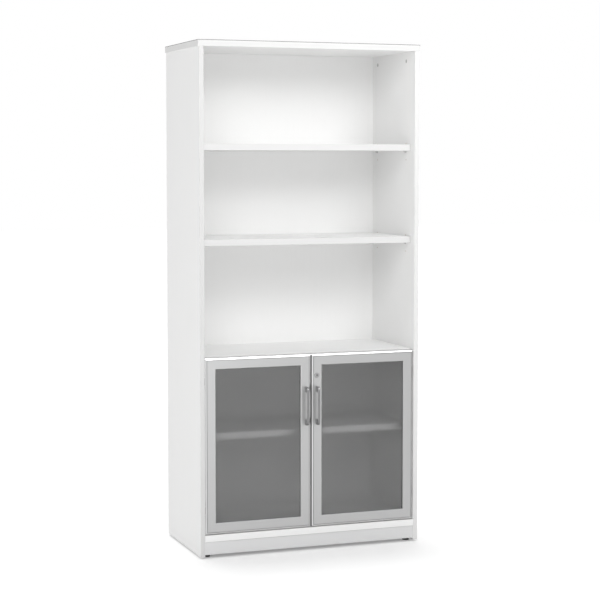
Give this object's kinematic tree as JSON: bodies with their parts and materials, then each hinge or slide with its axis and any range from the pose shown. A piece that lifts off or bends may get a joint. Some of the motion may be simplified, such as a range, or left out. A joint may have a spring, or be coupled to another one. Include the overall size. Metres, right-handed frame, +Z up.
{
  "type": "bookcase",
  "caption": "Tall white office bookcase with open bays over a cupboard with framed grey-glass doors, bow handles, a cam lock, loose shelves on pins and levelling feet.",
  "frame": {"origin": "middle of the footprint on the floor, door handles counted in", "axes": "+X to the right seen from the front, +Y to the back, +Z up"},
  "size_m": [0.908, 0.475, 1.965],
  "materials": {
    "white_board": "white melamine-faced particle board with matching edge banding",
    "grey_board": "silver-grey melamine-faced particle board",
    "frame_aluminium": "satin anodised extrusion",
    "tinted_glass": "grey tinted satin glass",
    "grey_seal": "grey extruded seal",
    "handle_metal": "satin nickel",
    "bright_steel": "bright zinc plated",
    "beech": "plain beech",
    "black_plastic": "black moulded plastic",
    "lock_metal": "satin chrome"
  },
  "bodies": {
    "carcass": {"left_side_panel": "white_board", "right_side_panel": "white_board", "top_panel": "white_board", "bottom_panel": "white_board", "cupboard_deck": "white_board", "back_panel": "white_board", "upper_shelf": "white_board", "middle_shelf": "white_board", "cupboard_shelf": "white_board", "front_plinth": "grey_board", "rear_plinth": "white_board", "shelf_pins": "bright_steel", "connector_cams": "bright_steel", "connector_bolts": "bright_steel", "panel_dowels": "beech", "corner_brackets": "black_plastic", "bracket_screws": "bright_steel", "left_hinge_arms": "bright_steel", "right_hinge_arms": "bright_steel", "hinge_screws": "bright_steel", "magnetic_catches": "black_plastic", "catch_screws": "bright_steel"},
    "left_door": {"left_hinge_stile": "frame_aluminium", "left_meeting_stile": "frame_aluminium", "left_top_rail": "frame_aluminium", "left_bottom_rail": "frame_aluminium", "left_corner_cleats": "frame_aluminium", "left_glass": "tinted_glass", "left_gasket": "grey_seal", "left_handle": "handle_metal", "left_handle_screws": "bright_steel", "left_hinge_knuckles": "bright_steel", "left_hinge_pins": "bright_steel", "left_strike_plate": "bright_steel", "bolt_guide": "bright_steel", "bolt_guide_screws": "bright_steel"},
    "right_door": {"right_hinge_stile": "frame_aluminium", "right_meeting_stile": "frame_aluminium", "right_top_rail": "frame_aluminium", "right_bottom_rail": "frame_aluminium", "right_corner_cleats": "frame_aluminium", "right_glass": "tinted_glass", "right_gasket": "grey_seal", "right_handle": "handle_metal", "right_handle_screws": "bright_steel", "right_hinge_knuckles": "bright_steel", "right_hinge_pins": "bright_steel", "right_strike_plate": "bright_steel", "lock_housing": "lock_metal", "lock_nut": "bright_steel"},
    "lock": {"lock_plug": "lock_metal", "lock_cam": "bright_steel", "lock_cam_screw": "bright_steel"},
    "bolt": {"door_bolt": "bright_steel"},
    "front_left_leveller": {"front_left_foot": "black_plastic"},
    "rear_left_leveller": {"rear_left_foot": "black_plastic"},
    "front_right_leveller": {"front_right_foot": "black_plastic"},
    "rear_right_leveller": {"rear_right_foot": "black_plastic"}
  },
  "joints": [
    {"name": "left_door_hinge", "type": "hinge", "parent": "carcass", "child": "left_door", "pos_m": [-0.421, -0.2015, 0.428], "axis": [0, 0, -1], "range_deg": [0, 100]},
    {"name": "right_door_hinge", "type": "hinge", "parent": "carcass", "child": "right_door", "pos_m": [0.421, -0.2015, 0.428], "axis": [0, 0, 1], "range_deg": [0, 100]},
    {"name": "lock_turn", "type": "hinge", "parent": "right_door", "child": "lock", "pos_m": [0.0225, -0.2095, 0.683], "axis": [0, 1, 0], "range_deg": [0, 90]},
    {"name": "bolt_slide", "type": "slide", "parent": "left_door", "child": "bolt", "axis": [0, 0, 1], "range_m": [0, 0.012]},
    {"name": "front_left_leveller_screw", "type": "slide", "parent": "carcass", "child": "front_left_leveller", "axis": [0, 0, -1], "range_m": [0, 0.015]},
    {"name": "rear_left_leveller_screw", "type": "slide", "parent": "carcass", "child": "rear_left_leveller", "axis": [0, 0, -1], "range_m": [0, 0.015]},
    {"name": "front_right_leveller_screw", "type": "slide", "parent": "carcass", "child": "front_right_leveller", "axis": [0, 0, -1], "range_m": [0, 0.015]},
    {"name": "rear_right_leveller_screw", "type": "slide", "parent": "carcass", "child": "rear_right_leveller", "axis": [0, 0, -1], "range_m": [0, 0.015]}
  ]
}
